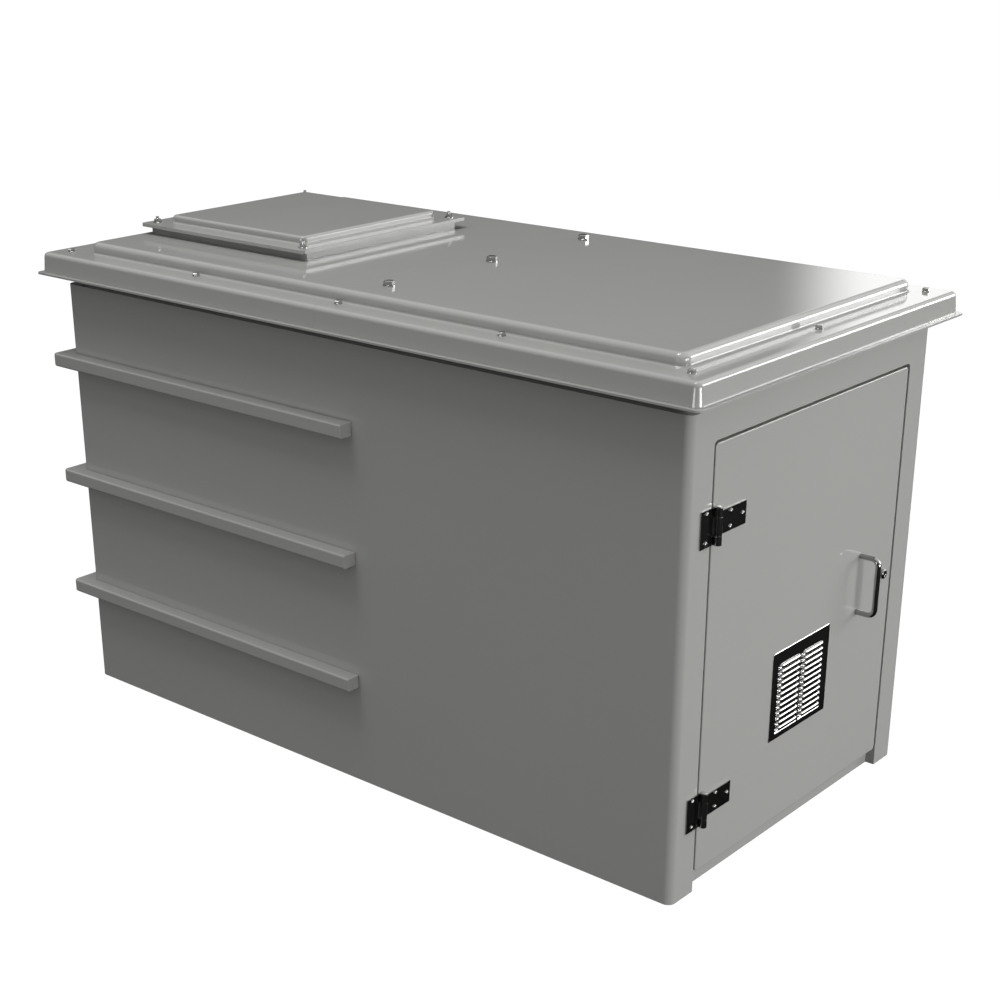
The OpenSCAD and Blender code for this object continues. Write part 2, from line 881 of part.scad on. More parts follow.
module lock_cam_screw() {
  head = 3;
  len = cam_t + 9;
  color(steel) on_door(lock_x, cam_y + cam_t, lock_z) {
    cylinder(r = cam_screw_r, h = len);
    translate([0, 0, -head]) hex(8, head);
  }
}

// ---- vent ----
// louvre pressed out of the plate, smaller by s on its inside; its mouth looks down
module hood_solid(s) {
  intersection() {
    translate([0, hood_r - hood_d, 0]) rotate([0, 90, 0]) cylinder(r = hood_r - s, h = hood_w);
    linear_extrude(hood_h)
      polygon([[2 * s, 0.1], [hood_w - 2 * s, 0.1], [hood_w - hood_end, s - hood_d],
        [hood_end, s - hood_d]]);
  }
}

module hoods() {
  for (i = [0:hood_rows - 1]) for (x = hood_x)
    translate([x, front - vent_t, hood_top - i * hood_pitch - hood_h]) children();
}

module vent_plate() {
  z0 = vent_z - vent_h / 2;
  color(steel) difference() {
    union() {
      translate([-vent_w / 2, front - vent_t, z0]) cube([vent_w, vent_t, vent_h]);
      hoods() hood_solid(0);
    }
    hoods() hood_solid(hood_t);
    hoods() translate([slot_x, 0, 0]) cube([slot_w, vent_t + e, hood_h - hood_back]);
  }
}

module vent_mesh() {
  l = mesh_lap;
  color(black) translate([-vent_open_w / 2 - l, front + door_t, vent_open_z - l])
    cube([vent_open_w + 2 * l, mesh_t, vent_open_h + 2 * l]);
}

body_shell();
rib_upper();
rib_middle();
rib_lower();
lid_gasket();
lid_front();
lid_rear();
lid_bolts();
lid_washers();
lid_nuts();
lid_joint_bolts();
lid_joint_washers();
lid_joint_nuts();
hatch_gasket();
hatch_cover();
hatch_studs();
hatch_washers();
hatch_nuts();
hatch_lock_nuts();
door_seal();
door_panel();
hinge_upper_leaf();
hinge_lower_leaf();
hinge_upper_strap();
hinge_lower_strap();
hinge_pins();
hinge_leaf_screws();
hinge_strap_screws();
hinge_leaf_nuts();
hinge_strap_nuts();
pull_handle();
handle_screws();
handle_washers();
lock_body();
lock_nut();
lock_plug();
lock_cam();
lock_cam_screw();
vent_plate();
vent_mesh();
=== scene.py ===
"""Looks of the glass-fibre equipment cabinet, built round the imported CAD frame."""
import math

import bmesh
import bpy
from mathutils import Matrix, Vector

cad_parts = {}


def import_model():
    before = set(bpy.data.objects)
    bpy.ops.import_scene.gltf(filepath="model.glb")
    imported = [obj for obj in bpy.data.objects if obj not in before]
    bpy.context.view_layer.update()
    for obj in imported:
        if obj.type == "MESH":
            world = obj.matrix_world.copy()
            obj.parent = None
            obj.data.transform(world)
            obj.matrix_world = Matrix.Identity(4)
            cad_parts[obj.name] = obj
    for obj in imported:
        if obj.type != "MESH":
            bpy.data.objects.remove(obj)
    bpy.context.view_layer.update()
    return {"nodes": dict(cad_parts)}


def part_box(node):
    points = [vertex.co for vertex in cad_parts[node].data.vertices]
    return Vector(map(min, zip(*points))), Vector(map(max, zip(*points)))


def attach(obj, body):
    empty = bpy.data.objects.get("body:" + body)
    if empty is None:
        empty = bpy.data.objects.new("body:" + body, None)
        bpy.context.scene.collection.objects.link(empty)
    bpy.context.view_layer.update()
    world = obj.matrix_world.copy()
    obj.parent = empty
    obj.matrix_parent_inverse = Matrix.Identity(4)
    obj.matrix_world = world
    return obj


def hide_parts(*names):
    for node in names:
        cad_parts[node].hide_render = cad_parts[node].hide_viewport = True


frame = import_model()
MM = 0.001


# ---- places read from the CAD frame -------------------------------------------------------

def low(node):
    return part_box(node)[0]


def high(node):
    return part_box(node)[1]


def middle(node):
    return (low(node) + high(node)) / 2


def islands(node):
    """Boxes (lowest, highest corner) of a node's separate solids."""
    mesh = bmesh.new()
    mesh.from_mesh(frame["nodes"][node].data)
    bmesh.ops.remove_doubles(mesh, verts=mesh.verts, dist=1e-6)
    left = set(mesh.verts)
    boxes = []
    while left:
        todo = [left.pop()]
        found = []
        while todo:
            vert = todo.pop()
            found.append(vert.co.copy())
            for edge in vert.link_edges:
                other = edge.other_vert(vert)
                if other in left:
                    left.remove(other)
                    todo.append(other)
        lows = Vector(min(p[k] for p in found) for k in range(3))
        highs = Vector(max(p[k] for p in found) for k in range(3))
        boxes.append((lows, highs))
    mesh.free()
    boxes.sort(key=lambda b: tuple(round(v, 4) for v in (*b[0], *b[1])))
    return boxes


FRONT = low("body_shell").y
STOP_BACK = low("door_seal").y + 2 * MM + 6 * MM
PANEL_TOP = high("lid_front").z
HATCH = middle("hatch_cover")


# ---- mesh helpers ------------------------------------------------------------------------

def new_piece(name, mesh, body, material, replaced=()):
    """A finished mesh as an object that rides on a body and takes one material."""
    piece = bpy.data.objects.new(name, mesh)
    bpy.context.scene.collection.objects.link(piece)
    if not mesh.materials:
        mesh.materials.append(material)
    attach(piece, body)
    if replaced:
        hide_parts(*replaced)
    return piece


def to_mesh(name, work, smooth=True):
    mesh = bpy.data.meshes.new(name)
    work.to_mesh(mesh)
    work.free()
    for face in mesh.polygons:
        face.use_smooth = smooth
    return mesh


def merged_copy(node):
    """The CAD node's mesh with shared corners and flat regions joined."""
    work = bmesh.new()
    work.from_mesh(frame["nodes"][node].data)
    bmesh.ops.remove_doubles(work, verts=work.verts, dist=2e-6)
    bmesh.ops.dissolve_limit(
        work, angle_limit=math.radians(0.4), use_dissolve_boundaries=False,
        verts=work.verts, edges=work.edges)
    return work


def soften(piece, width, segments=3, angle=38):
    """Rounds a piece's sharp edges and keeps its flat faces flat."""
    bevel = piece.modifiers.new("edges", "BEVEL")
    bevel.width = width
    bevel.segments = segments
    bevel.limit_method = "ANGLE"
    bevel.angle_limit = math.radians(angle)
    bevel.use_clamp_overlap = True
    bevel.miter_outer = "MITER_ARC"
    weights = piece.modifiers.new("shading", "WEIGHTED_NORMAL")
    weights.keep_sharp = True
    weights.weight = 80
    return piece


def finished_node(node, body, materials, width, inner=None, segments=3):
    """A CAD node's copy with softened edges; inner(face) picks the second material."""
    work = merged_copy(node)
    work.normal_update()
    if inner:
        for face in work.faces:
            face.material_index = 1 if inner(face) else 0
    mesh = to_mesh(node + "_finish", work)
    for material in materials:
        mesh.materials.append(material)
    piece = new_piece(node + "_finish", mesh, body, materials[0], [node])
    return soften(piece, width, segments)


def lathe(profile, steps=48):
    """A closed solid turned round +Z from (radius, height) points, bottom to top."""
    work = bmesh.new()
    rings = []
    for radius, height in profile:
        if radius < 1e-7:
            rings.append([work.verts.new((0, 0, height))])
        else:
            rings.append([
                work.verts.new((
                    radius * math.cos(2 * math.pi * k / steps),
                    radius * math.sin(2 * math.pi * k / steps), height))
                for k in range(steps)])
    for lower, upper in zip(rings, rings[1:]):
        bridge(work, lower, upper)
    return work


def bridge(work, lower, upper):
    steps = max(len(lower), len(upper))
    for k in range(steps):
        a, b = k, (k + 1) % steps
        if len(lower) == 1:
            work.faces.new((lower[0], upper[a], upper[b]))
        elif len(upper) == 1:
            work.faces.new((lower[a], lower[b], upper[0]))
        else:
            work.faces.new((lower[a], lower[b], upper[b], upper[a]))


def hex_radius(flats, angle):
    """Distance from a hexagon's middle to its outline at an angle."""
    third = math.pi / 3
    return flats / 2 / math.cos((angle % third) - third / 2)


def hex_body(flats, height, hole=0.0, under=True, steps=72):
    """Hexagon with the cone-cut corners of a real head (hole = 0) or nut."""
    work = bmesh.new()
    land = flats / 2 * 0.96
    slope = math.tan(math.radians(30))
    angles = [2 * math.pi * k / steps for k in range(steps)]

    def ring(size, lift):
        return [
            work.verts.new((size(t) * math.cos(t), size(t) * math.sin(t), lift(t)))
            for t in angles]

    def outline(t):
        return hex_radius(flats, t)

    def cut(t):
        return (outline(t) - land) * slope

    rings = []
    if hole:
        rings.append(ring(lambda t: hole, lambda t: hole * 0.1))
        rings.append(ring(lambda t: hole * 1.12, lambda t: 0))
    else:
        rings.append([work.verts.new((0, 0, 0))])
    rings.append(ring(lambda t: land, lambda t: 0))
    rings.append(ring(outline, cut if under else (lambda t: 0)))
    rings.append(ring(outline, lambda t: height - cut(t)))
    rings.append(ring(lambda t: land, lambda t: height))
    if hole:
        rings.append(ring(lambda t: hole * 1.12, lambda t: height))
        rings.append(ring(lambda t: hole, lambda t: height - hole * 0.1))
        rings.append(rings[0])
    else:
        rings.append([work.verts.new((0, 0, height))])
    for lower, upper in zip(rings, rings[1:]):
        bridge(work, lower, upper)
    bmesh.ops.remove_doubles(work, verts=work.verts, dist=1e-7)
    return work


def washer_body(outer, inner, height):
    edge = 0.25 * MM
    work = lathe([
        (inner, 0), (outer - edge, 0), (outer, edge), (outer, height - edge),
        (outer - edge, height), (inner, height), (inner, 0)])
    bmesh.ops.remove_doubles(work, verts=work.verts, dist=1e-7)
    return work


def threaded_rod(radius, start, end, pitch=1.5 * MM, plain=0.0):
    """Rod from start to end with thread ridges above the plain length, chamfered at its tip."""
    depth = 0.5 * pitch
    points = [(0, start), (radius - depth, start)]
    height = start + depth
    points.append((radius, height))
    if plain > 0:
        height = start + plain
        points.append((radius, height))
    while height < end - 2 * pitch:
        points.append((radius - depth, height + pitch / 2))
        points.append((radius, height + pitch))
        height += pitch
    points += [(radius, height), (radius - 1.4 * depth, end), (0, end)]
    return lathe(points, 32)


def joined(*parts):
    """One bmesh from several, each with a matrix that places it."""
    work = bmesh.new()
    for part, place in parts:
        mesh = bpy.data.meshes.new("part")
        part.to_mesh(mesh)
        part.free()
        mesh.transform(place)
        work.from_mesh(mesh)
        bpy.data.meshes.remove(mesh)
    return work


def lift(z):
    return Matrix.Translation((0, 0, z))


# ---- repeated pieces, spread by geometry nodes --------------------------------------------

def spread_tree():
    """Puts one item on every point, each turned about its axis by a fixed random angle."""
    tree = bpy.data.node_groups.new("spread_on_points", "GeometryNodeTree")
    face = tree.interface
    face.new_socket("Points", in_out="INPUT", socket_type="NodeSocketGeometry")
    face.new_socket("Item", in_out="INPUT", socket_type="NodeSocketObject")
    face.new_socket("Tilt", in_out="INPUT", socket_type="NodeSocketVector")
    face.new_socket("Turn range", in_out="INPUT", socket_type="NodeSocketFloat")
    face.new_socket("Seed", in_out="INPUT", socket_type="NodeSocketInt")
    face.new_socket("Material", in_out="INPUT", socket_type="NodeSocketMaterial")
    face.new_socket("Pieces", in_out="OUTPUT", socket_type="NodeSocketGeometry")
    nodes, links = tree.nodes, tree.links
    start = nodes.new("NodeGroupInput")
    item = nodes.new("GeometryNodeObjectInfo")
    turn = nodes.new("FunctionNodeRandomValue")
    turn.data_type = "FLOAT"
    spin = nodes.new("ShaderNodeCombineXYZ")
    put = nodes.new("GeometryNodeInstanceOnPoints")
    rotate = nodes.new("GeometryNodeRotateInstances")
    real = nodes.new("GeometryNodeRealizeInstances")
    paint = nodes.new("GeometryNodeSetMaterial")
    end = nodes.new("NodeGroupOutput")
    links.new(start.outputs["Item"], item.inputs["Object"])
    links.new(start.outputs["Points"], put.inputs["Points"])
    links.new(item.outputs["Geometry"], put.inputs["Instance"])
    links.new(start.outputs["Tilt"], put.inputs["Rotation"])
    links.new(start.outputs["Turn range"], turn.inputs[3])
    links.new(start.outputs["Seed"], turn.inputs["Seed"])
    links.new(turn.outputs[1], spin.inputs["Z"])
    links.new(put.outputs["Instances"], rotate.inputs["Instances"])
    links.new(spin.outputs["Vector"], rotate.inputs["Rotation"])
    links.new(rotate.outputs["Instances"], real.inputs["Geometry"])
    links.new(real.outputs["Geometry"], paint.inputs["Geometry"])
    links.new(start.outputs["Material"], paint.inputs["Material"])
    links.new(paint.outputs["Geometry"], end.inputs["Pieces"])
    return tree


SPREAD = spread_tree()


def set_input(modifier, name, value):
    for socket in modifier.node_group.interface.items_tree:
        if socket.name == name and socket.in_out == "INPUT":
            modifier[socket.identifier] = value


def spread(name, item, spots, material, tilt=(0, 0, 0), turn=math.pi / 3, seed=1):
    """A plain mesh of the item repeated at the spots."""
    mould = bpy.data.objects.new("mould", to_mesh("mould", item))
    points = bpy.data.meshes.new("spots")
    points.from_pydata([tuple(s) for s in spots], [], [])
    holder = bpy.data.objects.new("holder", points)
    bpy.context.scene.collection.objects.link(mould)
    bpy.context.scene.collection.objects.link(holder)
    modifier = holder.modifiers.new("spread", "NODES")
    modifier.node_group = SPREAD
    set_input(modifier, "Item", mould)
    set_input(modifier, "Tilt", tilt)
    set_input(modifier, "Turn range", turn)
    set_input(modifier, "Seed", seed)
    set_input(modifier, "Material", material)
    graph = bpy.context.evaluated_depsgraph_get()
    mesh = bpy.data.meshes.new_from_object(holder.evaluated_get(graph))
    mesh.name = name
    bpy.data.objects.remove(holder)
    bpy.data.objects.remove(mould)
    return mesh


def sharpen(mesh, angle=35):
    """Marks edges sharper than the angle so that smooth shading keeps them."""
    work = bmesh.new()
    work.from_mesh(mesh)
    for edge in work.edges:
        if len(edge.link_faces) == 2:
            edge.smooth = edge.calc_face_angle(0) < math.radians(angle)
    work.to_mesh(mesh)
    work.free()
    for face in mesh.polygons:
        face.use_smooth = True
    return mesh


# ---- shader groups -----------------------------------------------------------------------

def shader_group(name, inputs, outputs):
    """A shader node group with named sockets; returns tree, its input and output nodes."""
    tree = bpy.data.node_groups.new(name, "ShaderNodeTree")
    kinds = {"v": "NodeSocketVector", "f": "NodeSocketFloat", "c": "NodeSocketColor"}
    for label, kind, default in inputs:
        socket = tree.interface.new_socket(label, in_out="INPUT", socket_type=kinds[kind])
        if default is not None:
            socket.default_value = default
    for label, kind in outputs:
        tree.interface.new_socket(label, in_out="OUTPUT", socket_type=kinds[kind])
    return tree, tree.nodes.new("NodeGroupInput"), tree.nodes.new("NodeGroupOutput")


def noise(tree, vector, scale, detail=3.0, rough=0.5):
    node = tree.nodes.new("ShaderNodeTexNoise")
    node.inputs["Detail"].default_value = detail
    node.inputs["Roughness"].default_value = rough
    if isinstance(scale, (int, float)):
        node.inputs["Scale"].default_value = scale
    else:
        tree.links.new(scale, node.inputs["Scale"])
    tree.links.new(vector, node.inputs["Vector"])
    return node.outputs["Fac"]


def ramp(tree, value, start, end, out_start=0.0, out_end=1.0):
    node = tree.nodes.new("ShaderNodeMapRange")
    node.interpolation_type = "SMOOTHSTEP"
    for label, number in (
            ("From Min", start), ("From Max", end), ("To Min", out_start), ("To Max", out_end)):
        if isinstance(number, (int, float)):
            node.inputs[label].default_value = number
        else:
            tree.links.new(number, node.inputs[label])
    tree.links.new(value, node.inputs["Value"])
    return node.outputs["Result"]


def maths(tree, kind, a, b=0.0):
    node = tree.nodes.new("ShaderNodeMath")
    node.operation = kind
    for socket, value in zip(node.inputs, (a, b)):
        if isinstance(value, (int, float)):
            socket.default_value = value
        else:
            tree.links.new(value, socket)
    return node.outputs[0]


def blend_colour(tree, factor, a, b):
    node = tree.nodes.new("ShaderNodeMix")
    node.data_type = "RGBA"
    for socket, value in ((node.inputs[0], factor), (node.inputs[6], a), (node.inputs[7], b)):
        if isinstance(value, (int, float)):
            socket.default_value = value
        elif isinstance(value, tuple):
            socket.default_value = value
        else:
            tree.links.new(value, socket)
    return node.outputs[2]


def stretched(tree, vector, scale):
    node = tree.nodes.new("ShaderNodeVectorMath")
    node.operation = "MULTIPLY"
    node.inputs[1].default_value = scale
    tree.links.new(vector, node.inputs[0])
    return node.outputs[0]


def mottle_group():
    """Slow and fine changes of a colour, as every moulded or painted surface has."""
    tree, start, end = shader_group(
        "mottle",
        [("Vector", "v", None), ("Colour", "c", (0.5, 0.5, 0.5, 1)), ("Slow", "f", 0.03),
         ("Fine", "f", 0.02)],
        [("Colour", "c")])
    slow = noise(tree, start.outputs["Vector"], 1.7, 3)
    fine = noise(tree, start.outputs["Vector"], 420.0, 2)
    slow = maths(tree, "MULTIPLY", maths(tree, "SUBTRACT", slow, 0.5), start.outputs["Slow"])
    fine = maths(tree, "MULTIPLY", maths(tree, "SUBTRACT", fine, 0.5), start.outputs["Fine"])
    gain = maths(tree, "ADD", maths(tree, "ADD", slow, fine), 1.0)
    scale = tree.nodes.new("ShaderNodeVectorMath")
    scale.operation = "SCALE"
    tree.links.new(start.outputs["Colour"], scale.inputs[0])
    tree.links.new(gain, scale.inputs["Scale"])
    tree.links.new(scale.outputs[0], end.inputs["Colour"])
    return tree


def dust_group():
    """A thin film of dust: thicker on faces that look up, broken up by drying marks."""
    tree, start, end = shader_group(
        "dust", [("Vector", "v", None), ("Amount", "f", 0.1)], [("Mask", "f")])
    normal = tree.nodes.new("ShaderNodeNewGeometry")
    parts = tree.nodes.new("ShaderNodeSeparateXYZ")
    tree.links.new(normal.outputs["Normal"], parts.inputs[0])
    up = ramp(tree, parts.outputs["Z"], -0.2, 1.0, 0.25, 1.0)
    patches = ramp(tree, noise(tree, start.outputs["Vector"], 3.1, 6, 0.62), 0.42, 0.72)
    specks = ramp(tree, noise(tree, start.outputs["Vector"], 900.0, 2), 0.60, 0.74)
    film = maths(tree, "ADD", maths(tree, "MULTIPLY", patches, 0.7),
                 maths(tree, "MULTIPLY", specks, 0.5))
    mask = maths(tree, "MULTIPLY", maths(tree, "MULTIPLY", film, up), start.outputs["Amount"])
    tree.links.new(mask, end.inputs["Mask"])
    return tree


def moulded_skin_group():
    """Height in millimetres of a moulded skin: slow waves and orange peel."""
    tree, start, end = shader_group(
        "moulded_skin",
        [("Vector", "v", None), ("Waves", "f", 0.25), ("Peel", "f", 0.004)],
        [("Height", "f")])
    waves = noise(tree, start.outputs["Vector"], 2.6, 2, 0.4)
    peel = noise(tree, start.outputs["Vector"], 160.0, 2, 0.5)
    high_waves = maths(tree, "MULTIPLY", waves, start.outputs["Waves"])
    high_peel = maths(tree, "MULTIPLY", peel, start.outputs["Peel"])
    tree.links.new(maths(tree, "ADD", high_waves, high_peel), end.inputs["Height"])
    return tree


def fibre_group():
    """Chopped strands under resin: a mask of strands lying every way, and their height."""
    tree, start, end = shader_group(
        "chopped_strands", [("Vector", "v", None)], [("Mask", "f"), ("Height", "f")])
    total = None
    lays = ((9.0, 1.0, 1.6), (1.2, 8.0, 2.0), (1.8, 1.3, 9.0), (6.0, 6.0, 1.0))
    for lay in lays:
        strands = noise(tree, stretched(tree, start.outputs["Vector"], lay), 26.0, 3, 0.6)
        total = strands if total is None else maths(tree, "MAXIMUM", total, strands)
    mask = ramp(tree, total, 0.52, 0.70)
    tree.links.new(mask, end.inputs["Mask"])
    tree.links.new(maths(tree, "MULTIPLY", mask, 0.12), end.inputs["Height"])
    return tree


def polish_group():
    """Fine lines and smudges of polished steel: a roughness and a height in millimetres."""
    tree, start, end = shader_group(
        "polish_lines",
        [("Vector", "v", None), ("Base", "f", 0.1), ("Spread", "f", 0.08)],
        [("Roughness", "f"), ("Height", "f"), ("Mask", "f")])
    lines = noise(tree, stretched(tree, start.outputs["Vector"], (60.0, 60.0, 1400.0)), 1.0, 3)
    smudge = ramp(tree, noise(tree, start.outputs["Vector"], 34.0, 5, 0.6), 0.45, 0.7)
    rough = maths(tree, "MULTIPLY", maths(tree, "ADD", maths(tree, "MULTIPLY", lines, 0.5),
                                         maths(tree, "MULTIPLY", smudge, 0.5)),
                  start.outputs["Spread"])
    tree.links.new(maths(tree, "ADD", rough, start.outputs["Base"]), end.inputs["Roughness"])
    tree.links.new(maths(tree, "MULTIPLY", lines, 0.0012), end.inputs["Height"])
    tree.links.new(smudge, end.inputs["Mask"])
    return tree


GROUPS = {
    "mottle": mottle_group(), "dust": dust_group(), "skin": moulded_skin_group(),
    "fibre": fibre_group(), "polish": polish_group()}


# ---- materials ---------------------------------------------------------------------------

def material_base(name):
    material = bpy.data.materials.new(name)
    material.use_nodes = True
    tree = material.node_tree
    shader = tree.nodes["Principled BSDF"]
    place = tree.nodes.new("ShaderNodeTexCoord").outputs["Object"]
    return material, tree, shader, place


def use_group(tree, kind, place, **values):
    node = tree.nodes.new("ShaderNodeGroup")
    node.node_tree = GROUPS[kind]
    tree.links.new(place, node.inputs["Vector"])
    for label, value in values.items():
        node.inputs[label].default_value = value
    return node


def bump(tree, height, shader, distance=MM, strength=1.0):
    node = tree.nodes.new("ShaderNodeBump")
    node.inputs["Distance"].default_value = distance
    node.inputs["Strength"].default_value = strength
    tree.links.new(height, node.inputs["Height"])
    tree.links.new(node.outputs["Normal"], shader.inputs["Normal"])


def gelcoat():
    material, tree, shader, place = material_base("grey_gelcoat")
    mottle = use_group(
        tree, "mottle", place, Colour=(0.33, 0.33, 0.318, 1), Slow=0.04, Fine=0.03)
    dust = use_group(tree, "dust", place, Amount=0.08)
    skin = use_group(tree, "skin", place, Waves=0.22, Peel=0.0030)
    colour = blend_colour(tree, dust.outputs["Mask"], mottle.outputs["Colour"],
                          (0.42, 0.41, 0.38, 1))
    tree.links.new(colour, shader.inputs["Base Color"])
    rough = maths(tree, "ADD", maths(tree, "MULTIPLY", dust.outputs["Mask"], 0.35), 0.085)
    tree.links.new(rough, shader.inputs["Roughness"])
    bump(tree, skin.outputs["Height"], shader)
    return material


def laminate():
    material, tree, shader, place = material_base("bare_laminate")
    fibre = use_group(tree, "fibre", place)
    mottle = use_group(
        tree, "mottle", place, Colour=(0.30, 0.315, 0.27, 1), Slow=0.25, Fine=0.12)
    colour = blend_colour(tree, fibre.outputs["Mask"], mottle.outputs["Colour"],
                          (0.44, 0.45, 0.39, 1))
    tree.links.new(colour, shader.inputs["Base Color"])
    rough = ramp(tree, fibre.outputs["Mask"], 0.0, 1.0, 0.38, 0.62)
    tree.links.new(rough, shader.inputs["Roughness"])
    bump(tree, fibre.outputs["Height"], shader)
    return material


def steel(name, base=0.07, spread=0.10, tint=(0.66, 0.655, 0.64, 1)):
    material, tree, shader, place = material_base(name)
    polish = use_group(tree, "polish", place, Base=base, Spread=spread)
    dust = use_group(tree, "dust", place, Amount=0.10)
    colour = blend_colour(tree, polish.outputs["Mask"], tint,
                          tuple(0.93 * c for c in tint[:3]) + (1,))
    colour = blend_colour(tree, dust.outputs["Mask"], colour, (0.32, 0.31, 0.28, 1))
    tree.links.new(colour, shader.inputs["Base Color"])
    tree.links.new(polish.outputs["Roughness"], shader.inputs["Roughness"])
    shader.inputs["Metallic"].default_value = 1.0
    bump(tree, polish.outputs["Height"], shader)
    return material


def rubber():
    material, tree, shader, place = material_base("seal_rubber")
    mottle = use_group(
        tree, "mottle", place, Colour=(0.022, 0.022, 0.023, 1), Slow=0.3, Fine=0.4)
    dust = use_group(tree, "dust", place, Amount=0.25)
    colour = blend_colour(tree, dust.outputs["Mask"], mottle.outputs["Colour"],
                          (0.16, 0.15, 0.14, 1))
    tree.links.new(colour, shader.inputs["Base Color"])
    cells = noise(tree, place, 700.0, 3, 0.7)
    tree.links.new(ramp(tree, cells, 0.3, 0.7, 0.58, 0.82), shader.inputs["Roughness"])
    bump(tree, maths(tree, "MULTIPLY", cells, 0.06), shader)
    return material


def insect_mesh():
    material, tree, shader, place = material_base("insect_mesh")
    parts = tree.nodes.new("ShaderNodeSeparateXYZ")
    tree.links.new(place, parts.inputs[0])
    pitch = 1.6 * MM
    strands = None
    for axis in ("X", "Z"):
        wave = maths(tree, "SINE", maths(tree, "MULTIPLY", parts.outputs[axis],
                                         2 * math.pi / pitch))
        strands = wave if strands is None else maths(tree, "MAXIMUM", strands, wave)
    wire = ramp(tree, strands, 0.2, 0.75)
    # Between the wires the sheet is painted near-black: painted shade of the dark inside seen
    # through the mesh's openings.
    colour = blend_colour(tree, wire, (0.004, 0.004, 0.004, 1), (0.07, 0.07, 0.07, 1))
    tree.links.new(colour, shader.inputs["Base Color"])
    tree.links.new(ramp(tree, wire, 0.0, 1.0, 0.9, 0.45), shader.inputs["Roughness"])
    bump(tree, maths(tree, "MULTIPLY", wire, 0.25), shader)
    return material


GEL = gelcoat()
LAMINATE = laminate()
STEEL = steel("polished_steel", 0.10, 0.10)
# The mirror steel takes a darker tint than the polished steel: painted shade that dims its
# reflections so they read near black.
SHADED_MIRROR_STEEL = steel("mirror_steel_painted_dark", 0.09, 0.05, (0.36, 0.357, 0.35, 1))
FIXING_STEEL = steel("fixing_steel", 0.14, 0.12, (0.50, 0.495, 0.48, 1))
RUBBER = rubber()
INSECT_MESH = insect_mesh()


# ---- glass-fibre mouldings ---------------------------------------------------------------

def shell_inside(face):
    """True on the shell's unseen laminate side."""
    at = face.calc_center_median()
    out = face.normal
    if abs(out.z) > 0.5:
        floor_top = at.z < 20 * MM and out.z > 0
        shoulder_under = out.z < 0 and 0.5 < at.z < high("body_shell").z - 20 * MM
        return floor_top or (shoulder_under and at.y > STOP_BACK)
    faces_axis = out.x * at.x + out.y * at.y < 0
    return faces_axis and at.y > STOP_BACK - 0.5 * MM


def lid_inside(face):
    at = face.calc_center_median()
    out = face.normal
    if out.z < -0.5:
        return True
    if out.z > 0.5:
        return False
    about = HATCH if at.z > PANEL_TOP - 5 * MM else Vector((0, 0, 0))
    return out.x * (at.x - about.x) + out.y * (at.y - about.y) < 0


def cover_inside(face):
    at = face.calc_center_median() - HATCH
    out = face.normal
    return out.z < -0.5 or (out.z < 0.5 and out.x * at.x + out.y * at.y < 0)


def door_inside(face):
    return face.normal.y > 0.5 or face.calc_center_median().y > FRONT + 5 * MM and (
        abs(face.calc_center_median().x) < 0.384)


def never(_face):
    return False


def mouldings():
    both = [GEL, LAMINATE]
    finished_node("body_shell", "cabinet", both, 2.2 * MM, shell_inside)
    for rib in ("rib_upper", "rib_middle", "rib_lower"):
        finished_node(rib, "cabinet", both, 2.0 * MM, never)
    for half in ("lid_front", "lid_rear"):
        finished_node(half, "cabinet", both, 1.2 * MM, lid_inside)
    finished_node("hatch_cover", "cabinet", both, 1.2 * MM, cover_inside)
    finished_node("door_panel", "door", both, 1.2 * MM, door_inside)


def seals():
    for node, body in (("lid_gasket", "cabinet"), ("hatch_gasket", "cabinet"),
                       ("door_seal", "cabinet")):
        finished_node(node, body, [RUBBER], 0.5 * MM, None, 2)


# ---- fasteners ---------------------------------------------------------------------------

def bolt_sets():
    """Bolts, studs, washers and nuts, each set one piece in the place of its CAD node."""
    heads = islands("lid_bolts")
    spots = [((a.x + b.x) / 2, (a.y + b.y) / 2, b.z) for a, b in heads]
    head = 6.4 * MM
    length = heads[0][1].z - heads[0][0].z
    bolt = joined(
        (hex_body(16 * MM, head), lift(-head)),
        (threaded_rod(5 * MM, 0, length - head, plain=14 * MM),
         lift(-head) @ Matrix.Rotation(math.pi, 4, "X")))
    mesh = spread("lid_bolt_set", bolt, spots, FIXING_STEEL, seed=3)
    new_piece("lid_bolt_set", sharpen(mesh), "cabinet", FIXING_STEEL, ["lid_bolts"])
    ring_set("lid_washer_set", "lid_washers", 10 * MM, 5.2 * MM)
    nut_set("lid_nut_set", "lid_nuts", 16 * MM, 5 * MM, 5)

    heads = islands("lid_joint_bolts")
    spots = [((a.x + b.x) / 2, (a.y + b.y) / 2, b.z) for a, b in heads]
    head = 10 * MM
    length = heads[0][1].z - heads[0][0].z
    bolt = joined(
        (hex_body(24 * MM, head), lift(-head)),
        (threaded_rod(8 * MM, 0, length - head, 2 * MM, plain=12 * MM),
         lift(-head) @ Matrix.Rotation(math.pi, 4, "X")))
    mesh = spread("joint_bolt_set", bolt, spots, FIXING_STEEL, seed=8)
    new_piece("joint_bolt_set", sharpen(mesh), "cabinet", FIXING_STEEL,
              ["lid_joint_bolts"])
    ring_set("joint_washer_set", "lid_joint_washers", 15 * MM, 8.3 * MM)
    nut_set("joint_nut_set", "lid_joint_nuts", 24 * MM, 8 * MM, 6)

    studs = islands("hatch_studs")
    spots = [((a.x + b.x) / 2, (a.y + b.y) / 2, a.z) for a, b in studs]
    rod = threaded_rod(5 * MM, 0, studs[0][1].z - studs[0][0].z)
    mesh = spread("hatch_stud_set", rod, spots, FIXING_STEEL)
    new_piece("hatch_stud_set", sharpen(mesh), "cabinet", FIXING_STEEL,
              ["hatch_studs"])
    ring_set("hatch_washer_set", "hatch_washers", 12 * MM, 5.2 * MM)
    nut_set("hatch_nut_set", "hatch_nuts", 17 * MM, 5 * MM, 4)
    nut_set("hatch_lock_nut_set", "hatch_lock_nuts", 15 * MM, 5 * MM, 9)


